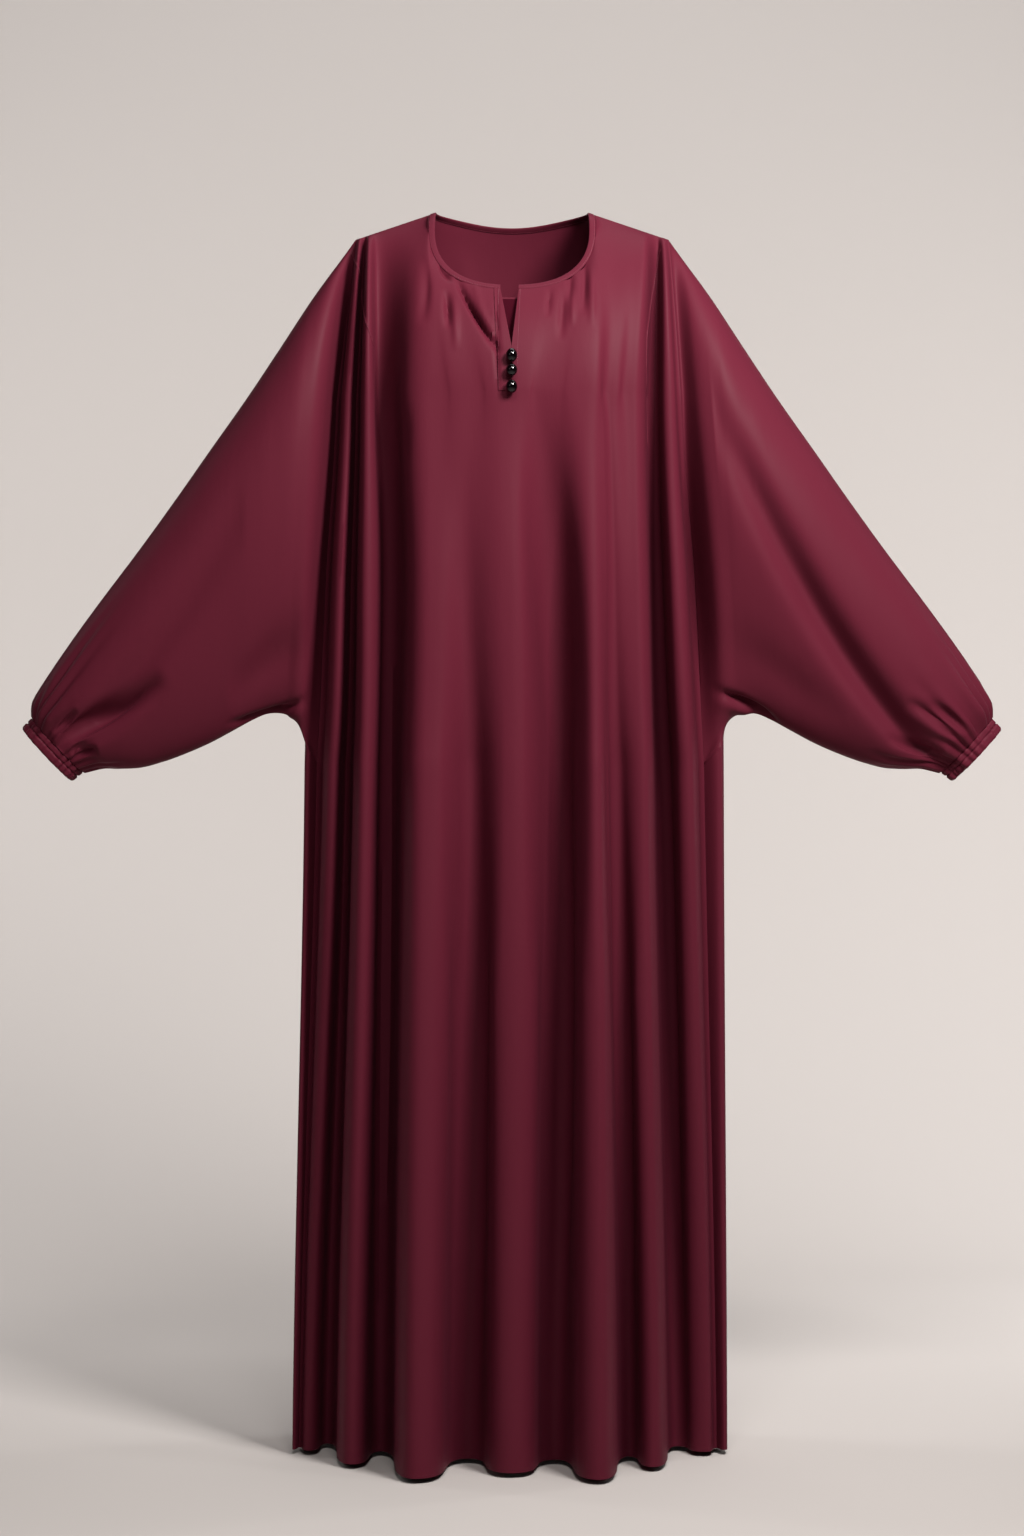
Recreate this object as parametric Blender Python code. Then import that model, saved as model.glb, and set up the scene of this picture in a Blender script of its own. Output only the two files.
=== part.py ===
"""Floor-length abaya in the shape it has when worn: front and back panels that fall in deep folds, two very wide
sleeves gathered into ribbed cuffs, a bound neck with a short slit, an underlay and three ball buttons.
Metres, Z up, the front faces -Y, the origin is the middle of the shoulders at the neck points."""
import bpy
import numpy as np

MM = 0.001
WALL = 2.0 * MM
TRIM_WALL = 1.6 * MM
SEAM_GAP = 0.3 * MM
WELD = 0.001 * MM
BAND_WIDTH = 8.0 * MM

# Heights from the shoulders down to the hem.
CHEST_Z = -0.217
WAIST_Z = -0.410
ARM_Z = -0.632
HEM_Z = -1.420
HEIGHTS = np.array([-CHEST_Z, -WAIST_Z, -ARM_Z, -HEM_Z])

# Rows of faces in the shoulder part, between chest and armhole, and in the skirt.
SHOULDER_ROWS = 5
BODY_ROWS = 6
SKIRT_ROWS = 7

# Shoulder line, from the neck binding to the tip.
TIP_X, TIP_Z = 0.1795, -0.031
UNDERARM_Z = -0.603

# Neck opening: half width, height of its curve, level of its widest place, reach to the front and to the back.
NECK_HALF = 0.088
NECK_DROP = 0.073
NECK_LEVEL = -0.020
NECK_FRONT = 0.078
NECK_BACK = 0.060
NECK_BACK_DROP = 0.008

# Powers of the neck curve: how square its width and height are, and how soon it comes forward.
NECK_SQUARE = 0.8
NECK_FORWARD = 0.55

# Direction in which the binding lies from the neck's edge: its tilt, what the centre adds to it, and its reach.
BAND_TILT = 0.3
BAND_TILT_CENTRE = 0.5
BAND_REACH = 0.75

# Slope at which the cloth leaves the neck, and how far it stands out beside the neck points.
NECK_LEAN = np.pi / 4
NECK_LEAN_POWER = 1.5
NECK_SPREAD = 5.0 * MM
NECK_SPREAD_WIDTH = 0.25

# Slit: where its V closes, half openings at the neck on its two sides, and where the placket line stands.
SLIT_V_Z = -0.166
SLIT_LEFT = 13.0 * MM
SLIT_RIGHT = 7.5 * MM
SLIT_MIN = 0.02 * MM
PLACKET_STEP = 7.845

# Places across a panel are counted in folds of the tables below: the centre, the last one, those at which the
# shoulder line meets the neck, and how far beside the centre a column counts as the left one.
CENTRE = 8
LAST = 16
NECK_STEPS = (6.0, 10.5)
HAIR = 1e-9

# One row per fold, from the wearer's right side seam to the left one, valleys and ridges in turn.
# Columns: where it starts, then x at chest, waist, armhole and hem, then its reach forward at the same heights, in mm.
# The start is a share of the shoulder line from the tip, or 1 plus a share of the half neckline from the neck point.
FRONT = np.array([
    [0.00, -238, -238, -238, -252, 0, 0, 0, 0],
    [0.00, -202, -214, -225, -246, 5, 0, -5, -3],
    [0.06, -185, -193, -202, -232, 55, 60, 50, 16],
    [0.12, -178, -184, -191, -214, 15, 2, -10, -26],
    [0.19, -163, -164, -166, -180, 78, 85, 88, 95],
    [0.30, -147, -131, -140, -150, 46, 35, 30, 20],
    [1.00, -94, -92, -97, -107, 115, 125, 135, 175],
    [1.45, -52, -52, -45, -50, 118, 120, 105, 62],
    [2.00, -1, -1, 1, -1, 122, 128, 130, 144],
    [1.62, 38, 52, 54, 49, 118, 96, 75, 68],
    [1.34, 86, 91, 95, 96, 120, 130, 140, 180],
    [0.66, 110, 116, 118, 133, 106, 108, 98, 50],
    [0.35, 136, 140, 147, 158, 98, 106, 110, 110],
    [0.14, 163, 165, 170, 190, 32, 10, 0, -10],
    [0.07, 177, 185, 199, 221, 65, 66, 60, 23],
    [0.00, 192, 209, 221, 236, 46, 10, 0, 0],
    [0.00, 243, 243, 243, 247, 0, 0, 0, 0],
])

# The same columns for the back, with its reach backward.
BACK = np.array([
    [0.00, -238, -238, -238, -252, 0, 0, 0, 0],
    [0.00, -202, -214, -225, -246, 14, 18, 22, 30],
    [0.06, -186, -194, -203, -230, 60, 66, 68, 80],
    [0.12, -174, -178, -184, -202, 40, 44, 48, 62],
    [0.19, -156, -152, -152, -166, 84, 94, 100, 130],
    [0.30, -134, -126, -120, -128, 68, 68, 68, 74],
    [1.00, -98, -94, -86, -88, 100, 110, 120, 158],
    [1.45, -50, -46, -42, -44, 98, 96, 90, 86],
    [2.00, -4, 0, 2, 6, 102, 112, 124, 166],
    [1.62, 42, 44, 48, 54, 99, 94, 88, 84],
    [1.34, 84, 88, 92, 100, 102, 110, 120, 160],
    [0.66, 116, 122, 128, 140, 84, 80, 74, 76],
    [0.35, 140, 146, 156, 172, 90, 96, 102, 128],
    [0.14, 166, 174, 184, 206, 46, 46, 50, 62],
    [0.07, 180, 194, 204, 228, 62, 66, 68, 78],
    [0.00, 192, 209, 221, 240, 14, 18, 22, 30],
    [0.00, 243, 243, 243, 247, 0, 0, 0, 0],
])
SIDE_BULGE = {"front": 13.0 * MM, "back": 4.0 * MM}

# Share of a fold's width by which its flanks stand upright, and by which ridges are wider than valleys.
FLANK = 0.11
RIDGE_WIDTH = 0.07

# Sleeve outline, one row per section from the armhole to the cuff.
# Columns: outer edge x and z, lower edge x and z, reach to the front, reach to the back, fullness at the top, in mm.
SLEEVE = np.array([
    [179, -31, 240, -603, 6, 12, 0.00],
    [198, -57, 246, -587, 60, 58, 0.20],
    [229, -100, 260, -576, 74, 70, 0.35],
    [267, -158, 280, -575, 76, 72, 0.35],
    [305, -215, 298, -582, 74, 70, 0.35],
    [346, -273, 320, -594, 70, 66, 0.35],
    [386, -330, 346, -608, 66, 62, 0.30],
    [428, -388, 373, -620, 62, 58, 0.25],
    [471, -445, 400, -630, 57, 54, 0.20],
    [504, -491, 426, -637, 52, 50, 0.15],
    [533, -535, 452, -638, 46, 44, 0.10],
    [548, -562, 473, -637, 38, 37, 0.05],
    [551, -580, 493, -642, 28, 28, 0.00],
])
SLEEVE_STATIONS = [0, 0.5, 1, 1.6, 2.4, 3.4, 4.6, 6, 7.4, 8.6, 9.6, 10.4, 11.2, 12]

# Long soft folds of the sleeves. Columns: wearer's side (-1 right, 1 left), face (-1 front, 1 back), first and last
# section, place across the sleeve at both ends (0 outer edge, 1 lower edge), depth in mm, half width across.
SLEEVE_FOLDS = [
    [1, -1, 2.5, 12.0, 0.46, 0.70, 9, 0.11],
    [1, -1, 0.5, 7.0, 0.86, 0.84, 9, 0.07],
    [-1, -1, 4.0, 12.0, 0.38, 0.62, 9, 0.10],
    [-1, -1, 0.5, 5.0, 0.84, 0.88, 9, 0.07],
    [1, 1, 3.0, 12.0, 0.40, 0.66, 7, 0.12],
    [-1, 1, 2.5, 10.5, 0.42, 0.58, 6, 0.12],
]
GATHER_DEPTH = 3.2 * MM
GATHER_START = 10.0
SLEEVE_END = 12.0
FOLD_FADE = 0.7

# Sections over which the first ring eases into even shares, and over which the armhole's own shape fades out.
EASE_STATIONS = 3.0
FADE_STATIONS = 1.6

# Cuff sections: distance along the cuff, size against the sleeve's end, depth of its ribs in mm.
CUFF = [
    [0.0, 1.00, 3.2],
    [3.0, 0.97, 1.8],
    [10.0, 0.95, 1.6],
    [17.5, 0.94, 1.4],
]
CUFF_AXIS = np.array([0.737, 0.0, -0.676])

# How far down the first row of the shoulder part the underlay starts.
UNDERLAY_START = 0.56

# Columns of the underlay, how far its middle sags back, and the share of this at its upper edge.
UNDERLAY_STEPS = np.array([7.6, PLACKET_STEP, CENTRE, LAST - PLACKET_STEP, 8.4])
UNDERLAY_SAG = 12.0 * MM
UNDERLAY_SAG_TOP = 0.3

# Ball buttons: name, height, and how much taller than wide.
BUTTONS = [
    ("button_top", -0.178, 1.24),
    ("button_middle", -0.1946, 1.12),
    ("button_low", -0.2132, 1.22),
]
BUTTON_RADIUS = 6.3 * MM
BUTTON_X = -0.4 * MM
BUTTON_RINGS = 11
BUTTON_SIDES = 16
SHANK_RADIUS = 1.1 * MM
SHANK_LENGTH = 0.6 * MM


def between(table, place):
    """Smooth values of a table's rows at a place counted in rows."""
    place = np.asarray(place, float)
    last = len(table) - 1
    row = np.clip(np.floor(place).astype(int), 0, last - 1)
    share = (place - row).reshape(place.shape + (1,) * (table.ndim - 1))
    before = table[np.maximum(row - 1, 0)]
    start, end = table[row], table[row + 1]
    after = table[np.minimum(row + 2, last)]
    slope_in, slope_out = (end - before) / 2, (after - start) / 2
    return (start * (1 + 2 * share) * (1 - share) ** 2 + slope_in * share * (1 - share) ** 2
            + end * share ** 2 * (3 - 2 * share) + slope_out * share ** 2 * (share - 1))


def fold_places(folds, z):
    """x and reach of every fold at heights z, in metres."""
    row = np.interp(-z, HEIGHTS, np.arange(len(HEIGHTS)))
    levels = np.stack([folds[:, 1:5].T, folds[:, 5:9].T], axis=-1) * MM
    return between(levels, row)


def across(places, step, bulge):
    """Section of a panel: from fold to fold the reach follows half a cosine wave while x goes with steeper flanks."""
    last = places.shape[1] - 1
    fold = np.clip(np.floor(step).astype(int), 0, last - 1)
    share = step - fold
    start, end = places[:, fold], places[:, fold + 1]
    side = np.where(fold % 2 == 0, 1.0, -1.0)
    go = share + FLANK * np.sin(2 * np.pi * share) + side * RIDGE_WIDTH * np.sin(np.pi * share)
    rise = (1 - np.cos(np.pi * share)) / 2
    first, final = fold == 0, fold == last - 1
    go = np.where(first, 1 - np.cos(np.pi / 2 * share), np.where(final, np.sin(np.pi / 2 * share), go))
    rise = np.where(first, np.sin(np.pi / 2 * share), np.where(final, 1 - np.cos(np.pi / 2 * share), rise))
    x = start[..., 0] + (end[..., 0] - start[..., 0]) * go
    reach = start[..., 1] + (end[..., 1] - start[..., 1]) * rise
    return x, reach + np.where(first | final, bulge * np.sin(np.pi * share), 0.0)


def neck_loop(share, facing):
    """Inner edge of the neck binding, from a neck point (0) to the centre (1), for x > 0, and its outward direction."""
    lift = np.arcsin((-NECK_LEVEL / NECK_DROP) ** (1 / NECK_SQUARE))
    angle = -lift + share * (np.pi / 2 + lift)
    turn = share * np.pi / 2
    if facing == "front":
        x = NECK_HALF * np.cos(angle) ** NECK_SQUARE
        z = NECK_LEVEL - NECK_DROP * np.sign(angle) * np.abs(np.sin(angle)) ** NECK_SQUARE
        y = -NECK_FRONT * np.sin(turn) ** NECK_FORWARD
    else:
        x = NECK_HALF * np.cos(lift) ** NECK_SQUARE * np.cos(turn)
        z = -NECK_BACK_DROP * np.sin(turn) ** 4
        y = NECK_BACK * np.sin(turn)
    way = -1 if facing == "front" else 1
    tilt = BAND_TILT + BAND_TILT_CENTRE * np.sin(turn)
    out = np.stack([np.cos(turn), way * BAND_REACH * np.sin(turn), -tilt], axis=-1)
    out /= np.linalg.norm(out, axis=-1, keepdims=True)
    return np.stack([x, y, z], axis=-1), out


def top_points(folds, step, facing):
    """Upper end of each column on the shoulder line or the neck binding, the binding's inner edge there, and the
    column's start as the tables give it."""
    start = np.interp(step, np.arange(len(folds)), folds[:, 0])
    mirror = np.stack([np.where(step < CENTRE, -1.0, 1.0), np.ones(len(step)), np.ones(len(step))], axis=-1)
    neck_share = np.clip(start - 1, 0, 1)
    inner, out = neck_loop(neck_share, facing)
    edge = inner + out * BAND_WIDTH
    corner, out = neck_loop(np.zeros(1), facing)
    corner = corner + out * BAND_WIDTH
    tip = np.array([[TIP_X, 0.0, TIP_Z]])
    line = tip + (corner - tip) * np.clip(start, 0, 1)[:, None]
    return np.where(start[:, None] < 1, line, edge) * mirror, inner * mirror, start


def slit_shift(step, z, top_z):
    """How far the columns beside the slit stand aside, all of it at the edge and none at the placket line."""
    width = CENTRE - PLACKET_STEP
    near = np.clip(1 - np.abs(step - CENTRE) / width, 0, 1)
    left = step < CENTRE
    wide = np.where(left, SLIT_LEFT, SLIT_RIGHT)
    opening = SLIT_MIN + wide * np.clip((z - SLIT_V_Z) / (top_z - SLIT_V_Z), 0, 1)
    closed = z < CHEST_Z + WELD
    return np.where(closed, 0.0, np.where(left, -1, 1) * opening * near)


def panel_shoulder(folds, step, turn, facing, slit=True):
    """Shoulder part of a panel at a turn of 0 (top edge) to 1 (chest): a quarter of an ellipse per column."""
    tops, _, start = top_points(folds, step, facing)
    x, reach = across(fold_places(folds, np.array([CHEST_Z])), step, SIDE_BULGE[facing])
    way = -1 if facing == "front" else 1
    lean = NECK_LEAN * np.clip(start, 0, 1) ** NECK_LEAN_POWER
    angle = lean + (np.pi / 2 - lean) * turn
    out = (np.sin(angle) - np.sin(lean)) / (1 - np.sin(lean))
    down = (np.cos(lean) - np.cos(angle)) / np.cos(lean)
    spread = NECK_SPREAD * np.sin(np.pi * turn) * np.exp(-((start - 1) / NECK_SPREAD_WIDTH) ** 2)
    place_x = tops[:, 0] + (x[0] - tops[:, 0]) * down + np.sign(tops[:, 0]) * spread
    place_y = tops[:, 1] + (way * reach[0] - tops[:, 1]) * out
    place_z = tops[:, 2] + (CHEST_Z - tops[:, 2]) * down
    if slit and facing == "front":
        place_x = place_x + slit_shift(step, place_z, tops[:, 2])
    return np.stack([place_x, place_y, place_z], axis=-1)


def panel_level(folds, step, z, facing):
    """Part of a panel below the chest, one row per height."""
    x, reach = across(fold_places(folds, z), step, SIDE_BULGE[facing])
    way = -1 if facing == "front" else 1
    return np.stack([x, way * reach, np.broadcast_to(z[:, None], x.shape)], axis=-1)


def steps(first, last, count):
    """Evenly spread columns of a panel, several to each fold."""
    return np.linspace(first, last, (last - first) * count + 1)


def column_steps():
    """Columns from armhole to centre and from centre to armhole, closer where the folds are wide."""
    half = np.concatenate([steps(1, 5, 3), steps(5, 7, 4)[1:], [7.3, 7.6, PLACKET_STEP, CENTRE]])
    return half, LAST - half[::-1]


def shoulder_turns():
    return np.linspace(0, 1, SHOULDER_ROWS + 1)


def panel(folds, facing):
    """Grids of a panel: two halves that share the centre column under the slit, and two strips under the arms."""
    body_z = np.linspace(CHEST_Z, ARM_Z, BODY_ROWS + 1)[1:]
    skirt_z = np.linspace(ARM_Z, HEM_Z, SKIRT_ROWS + 1)
    low_z = np.concatenate([body_z, skirt_z[1:]])
    grids = []
    for half, edge in zip(column_steps(), (CENTRE - HAIR, CENTRE)):
        columns = np.where(half == CENTRE, edge, half)
        high = [panel_shoulder(folds, columns, turn, facing) for turn in shoulder_turns()]
        grids.append(np.concatenate([np.array(high), panel_level(folds, half, low_z, facing)]))
    for first, seam in ((0, 0), (LAST - 1, LAST)):
        strip = steps(first, first + 1, 3)
        share = np.abs(strip - seam)
        top = UNDERARM_Z + (ARM_Z - UNDERARM_Z) * share
        drop = np.linspace(0, 1, SKIRT_ROWS + 1)
        columns = []
        for one, start in zip(strip, top):
            heights = start + (HEM_Z - start) * drop
            columns.append(panel_level(folds, np.array([one]), heights, facing)[:, 0])
        grids.append(np.stack(columns, axis=1))
    return grids


def armhole(grids, side):
    """Edge of a panel from the shoulder tip down the armhole and out to the underarm point."""
    half = grids[0][:, 0] if side < 0 else grids[1][:, -1]
    strip = grids[2][0, ::-1] if side < 0 else grids[3][0]
    return np.concatenate([half[:SHOULDER_ROWS + BODY_ROWS + 1], strip[1:]])


def sleeve_shape(station, share, side):
    """Points of a sleeve section at shares from the outer edge (0) to the lower edge (1), front then back."""
    row = between(SLEEVE, station)
    outer = np.array([side * row[0], 0.0, row[1]]) * MM
    lower = np.array([side * row[2], 0.0, row[3]]) * MM
    angle = np.pi * share
    place = (1 - np.cos(angle)) / 2
    faces = []
    for face, reach in ((-1, row[4]), (1, row[5])):
        depth = reach * MM * np.sin(angle) * (1 + row[6] * np.cos(angle))
        for fold_side, fold_face, first, last, begin, end, deep, wide in SLEEVE_FOLDS:
            if fold_side == side and fold_face == face and first < station < last:
                along = (station - first) / (last - first)
                centre = begin + (end - begin) * along
                shape = np.sin(np.pi * along) ** FOLD_FADE * np.exp(-((place - centre) / wide) ** 2)
                depth = depth - deep * MM * shape
        points = outer + (lower - outer) * place[:, None]
        points[:, 1] += face * depth
        faces.append(points)
    return faces


def sleeve(front_edge, back_edge, side):
    """Sleeve grid: the first ring is the armhole itself, then it eases into the sections and ends in gathers."""
    count = len(front_edge) - 1
    even = np.linspace(0, 1, count + 1)
    edges = (front_edge, back_edge)
    starts = []
    for edge in edges:
        run = np.concatenate([[0], np.cumsum(np.linalg.norm(np.diff(edge, axis=0), axis=1))])
        starts.append(run / run[-1])
    rings = []
    for station in SLEEVE_STATIONS:
        ease = min(1.0, station / EASE_STATIONS)
        fade = max(0.0, 1 - station / FADE_STATIONS) ** 2
        faces = []
        for face, (edge, start) in enumerate(zip(edges, starts)):
            share = start + (even - start) * ease
            shape = sleeve_shape(station, share, side)[face]
            first = sleeve_shape(0.0, start, side)[face]
            faces.append(shape + (edge - first) * fade)
        ring = np.concatenate([faces[0], faces[1][-2:0:-1]])
        gather = np.clip((station - GATHER_START) / (SLEEVE_END - GATHER_START), 0, 1) ** 2
        rings.append(ribbed(ring, GATHER_DEPTH * gather))
    return np.array(rings)


def ribbed(ring, depth):
    """Moves the points of a ring in and out by turns."""
    middle = ring.mean(axis=0)
    out = ring - middle
    out /= np.linalg.norm(out, axis=1, keepdims=True)
    turn = np.where(np.arange(len(ring)) % 2 == 0, 0.5, -0.5)
    return ring + out * (depth * turn)[:, None]


def cuff(end_ring, side):
    """Cuff grid: it takes over the gathered end of the sleeve and narrows to a ribbed band."""
    middle = end_ring.mean(axis=0)
    plain = ribbed(end_ring, -GATHER_DEPTH) - middle
    axis = CUFF_AXIS * np.array([side, 1, 1])
    rings = [end_ring]
    for along, size, rib in CUFF[1:]:
        rings.append(ribbed(middle + plain * size + axis * along * MM, rib * MM))
    return np.array(rings)


def binding():
    """Neck binding, from the slit round the wearer's right, the back and the left to the slit again."""
    left, right = column_steps()
    neck_left, neck_right = left[left >= NECK_STEPS[0]], right[right <= NECK_STEPS[1]]
    open_left = np.append(neck_left[:-1], CENTRE - HAIR)
    routes = [
        (FRONT, "front", open_left[::-1]),
        (BACK, "back", np.concatenate([neck_left[1:], neck_right[1:]])),
        (FRONT, "front", neck_right[:-1][::-1]),
    ]
    loops = []
    for folds, facing, step in routes:
        outer, inner, _ = top_points(folds, step, facing)
        if facing == "front":
            shift = slit_shift(step, outer[:, 2], outer[:, 2])
            outer[:, 0] += shift
            inner[:, 0] += shift
        loops.append(np.stack([inner, outer], axis=1))
    return np.concatenate(loops)


def weld(patches):
    """Joins the patches into one sheet: its points, a normal at each, and the triangles of every piece."""
    points, faces, total = [], {}, 0
    for name, grid, flip, ring in patches:
        rows, columns = grid.shape[:2]
        index = total + np.arange(rows * columns).reshape(rows, columns)
        if ring:
            index = np.concatenate([index, index[:, :1]], axis=1)
        corners = [index[:-1, :-1], index[:-1, 1:], index[1:, 1:], index[1:, :-1]]
        if flip:
            corners = corners[::-1]
        one, two, three, four = (corner.reshape(-1) for corner in corners)
        faces.setdefault(name, []).append(np.concatenate([
            np.stack([one, two, three], axis=-1), np.stack([one, three, four], axis=-1)]))
        points.append(grid.reshape(-1, 3))
        total += rows * columns
    points = np.concatenate(points)
    _, first, same = np.unique(np.round(points / WELD).astype(int), axis=0, return_index=True, return_inverse=True)
    points = points[first]
    faces = {name: same.reshape(-1)[np.concatenate(parts)] for name, parts in faces.items()}
    normals = np.zeros_like(points)
    for triangles in faces.values():
        tilt = np.cross(points[triangles[:, 1]] - points[triangles[:, 0]],
                        points[triangles[:, 2]] - points[triangles[:, 0]])
        for corner in range(3):
            before = points[triangles[:, (corner + 2) % 3]] - points[triangles[:, corner]]
            after = points[triangles[:, (corner + 1) % 3]] - points[triangles[:, corner]]
            cosine = (before * after).sum(1) / np.linalg.norm(before, axis=1) / np.linalg.norm(after, axis=1)
            share = np.arccos(np.clip(cosine, -1, 1)) / np.linalg.norm(tilt, axis=1)
            np.add.at(normals, triangles[:, corner], tilt * share[:, None])
    return points, normals / np.linalg.norm(normals, axis=1, keepdims=True), faces


def wall(points, normals, triangles, thickness, lift=0.0):
    """Closed body of a sheet: its rim drawn in by half a seam gap, its two faces half a wall to either side."""
    used, triangles = np.unique(triangles, return_inverse=True)
    triangles = triangles.reshape(-1, 3)
    place, normal = points[used].copy(), normals[used]
    edges = np.concatenate([triangles[:, [corner, (corner + 1) % 3]] for corner in range(3)])
    count = len(used)
    forward, backward = edges[:, 0] * count + edges[:, 1], edges[:, 1] * count + edges[:, 0]
    rim = edges[~np.isin(forward, backward)]
    inward = np.zeros_like(place)
    run = place[rim[:, 1]] - place[rim[:, 0]]
    side = np.cross(normal[rim[:, 0]] + normal[rim[:, 1]], run)
    side /= np.linalg.norm(side, axis=1, keepdims=True)
    for end in range(2):
        np.add.at(inward, rim[:, end], side)
    size = np.linalg.norm(inward, axis=1, keepdims=True)
    inward = np.divide(inward, size, out=np.zeros_like(inward), where=size > 0)
    place = place + inward * SEAM_GAP / 2 + normal * lift
    both = np.concatenate([place + normal * thickness / 2, place - normal * thickness / 2])
    one, two = rim[:, 0], rim[:, 1]
    rising = (one < two)[:, None]
    bands = [
        np.where(rising, np.stack([two, one, one + count], axis=-1), np.stack([two, one, two + count], axis=-1)),
        np.where(rising, np.stack([two, one + count, two + count], axis=-1),
                 np.stack([one, one + count, two + count], axis=-1)),
    ]
    return both, np.concatenate([triangles, triangles[:, ::-1] + count, *bands])


def add_object(name, points, faces, material):
    mesh = bpy.data.meshes.new(name)
    mesh.from_pydata(points.tolist(), [], faces.tolist())
    mesh.materials.append(material)
    mesh.shade_smooth()
    mesh.update()
    thing = bpy.data.objects.new(name, mesh)
    bpy.context.scene.collection.objects.link(thing)
    return thing


def new_material(name, colour, roughness):
    material = bpy.data.materials.new(name)
    material.use_nodes = True
    shader = material.node_tree.nodes["Principled BSDF"]
    shader.inputs["Base Color"].default_value = (*colour, 1.0)
    shader.inputs["Roughness"].default_value = roughness
    return material


def ball_button(name, centre, tall, back_y, material):
    """Ball with a short shank behind it: rings of one profile about the Y axis, drawn out in height."""
    rise = np.linspace(0, np.pi, BUTTON_RINGS)[1:-1]
    rise = rise[BUTTON_RADIUS * np.sin(rise) > SHANK_RADIUS]
    radius = np.concatenate([BUTTON_RADIUS * np.sin(rise), [SHANK_RADIUS, SHANK_RADIUS]])
    neck_y = centre[1] + BUTTON_RADIUS * np.sqrt(1 - (SHANK_RADIUS / BUTTON_RADIUS) ** 2)
    depth = np.concatenate([centre[1] - BUTTON_RADIUS * np.cos(rise), [neck_y, back_y]])
    height = np.concatenate([np.full(len(rise), tall), [1.0, 1.0]])
    turn = np.arange(BUTTON_SIDES) * 2 * np.pi / BUTTON_SIDES
    rings = np.stack([
        centre[0] + radius[:, None] * np.cos(turn),
        np.broadcast_to(depth[:, None], (len(depth), BUTTON_SIDES)),
        centre[2] + (radius * height)[:, None] * np.sin(turn),
    ], axis=-1)
    index = np.arange(rings.size // 3).reshape(len(depth), BUTTON_SIDES)
    following = np.roll(index, -1, axis=1)
    tip, end = index.size, index.size + 1
    faces = np.concatenate([
        np.stack([index[:-1], following[1:], following[:-1]], axis=-1).reshape(-1, 3),
        np.stack([index[:-1], index[1:], following[1:]], axis=-1).reshape(-1, 3),
        np.stack([np.full(BUTTON_SIDES, tip), index[0], following[0]], axis=-1),
        np.stack([np.full(BUTTON_SIDES, end), following[-1], index[-1]], axis=-1),
    ])
    ends = [[centre[0], centre[1] - BUTTON_RADIUS, centre[2]], [centre[0], back_y, centre[2]]]
    return add_object(name, np.concatenate([rings.reshape(-1, 3), ends]), faces, material)


def trim_on(name, grid, lift, material):
    """Thin piece made from points of a panel moved out by lift."""
    points, normals, faces = weld([(name, grid, True, False)])
    return add_object(name, *wall(points, normals, faces[name], TRIM_WALL, lift), material)


for old in list(bpy.data.objects):
    bpy.data.objects.remove(old)

satin = new_material("satin_crepe", (0.19, 0.022, 0.045), 0.45)
button_gloss = new_material("button_gloss", (0.01, 0.006, 0.008), 0.12)

# Panels, sleeves, cuffs and neck binding share the points of their seams.
front_grids = panel(FRONT, "front")
back_grids = panel(BACK, "back")
patches = [("front", grid, True, False) for grid in front_grids]
patches += [("back", grid, False, False) for grid in back_grids]
patches.append(("neck_binding", binding(), True, False))
for name, cuff_name, side in (("sleeve_right", "cuff_right", -1), ("sleeve_left", "cuff_left", 1)):
    grid = sleeve(armhole(front_grids, side), armhole(back_grids, side), side)
    patches.append((name, grid, side < 0, True))
    patches.append((cuff_name, cuff(grid[-1], side), side < 0, True))
sheet_points, sheet_normals, pieces = weld(patches)
for name, triangles in pieces.items():
    add_object(name, *wall(sheet_points, sheet_normals, triangles, WALL), satin)

# Placket strip beside the slit.
placket_grid = front_grids[0][:SHOULDER_ROWS + 1, -2:]
trim_on("placket", placket_grid, (WALL + TRIM_WALL) / 2 + SEAM_GAP, satin)

# Underlay behind the slit, its upper edge a little below the binding.
closed_front = np.array([
    panel_shoulder(FRONT, UNDERLAY_STEPS, turn, "front", slit=False) for turn in shoulder_turns()])
upper_edge = closed_front[0] + (closed_front[1] - closed_front[0]) * UNDERLAY_START
underlay_grid = np.concatenate([upper_edge[None], closed_front[1:SHOULDER_ROWS]])
across_it = (UNDERLAY_STEPS - UNDERLAY_STEPS[0]) / (UNDERLAY_STEPS[-1] - UNDERLAY_STEPS[0])
down_it = np.linspace(UNDERLAY_SAG_TOP, 1, len(underlay_grid))
underlay_grid[:, :, 1] += UNDERLAY_SAG * np.outer(down_it, np.sin(np.pi * across_it))
trim_on("slit_underlay", underlay_grid, -(WALL + TRIM_WALL) / 2 - SEAM_GAP, satin)

# Ball buttons on the placket.
slit_edge = front_grids[0][:SHOULDER_ROWS + 1, -1]
for name, z, tall in BUTTONS:
    cloth_y = np.interp(-z, -slit_edge[:, 2], slit_edge[:, 1])
    back_y = cloth_y - WALL / 2 - TRIM_WALL - 2 * SEAM_GAP
    centre = (BUTTON_X, back_y - SHANK_LENGTH - BUTTON_RADIUS, z)
    ball_button(name, centre, tall, back_y, button_gloss)
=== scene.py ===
"""Looks of a floor-length abaya in worn shape: burgundy satin crepe in deep hanging folds, wide sleeves gathered into
elastic cuffs, a bound neck with a short slit, an underlay and three glossy ball buttons. Metres, Z up, front to -Y."""

import bpy
import numpy as np
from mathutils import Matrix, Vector
from mathutils.bvhtree import BVHTree


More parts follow.
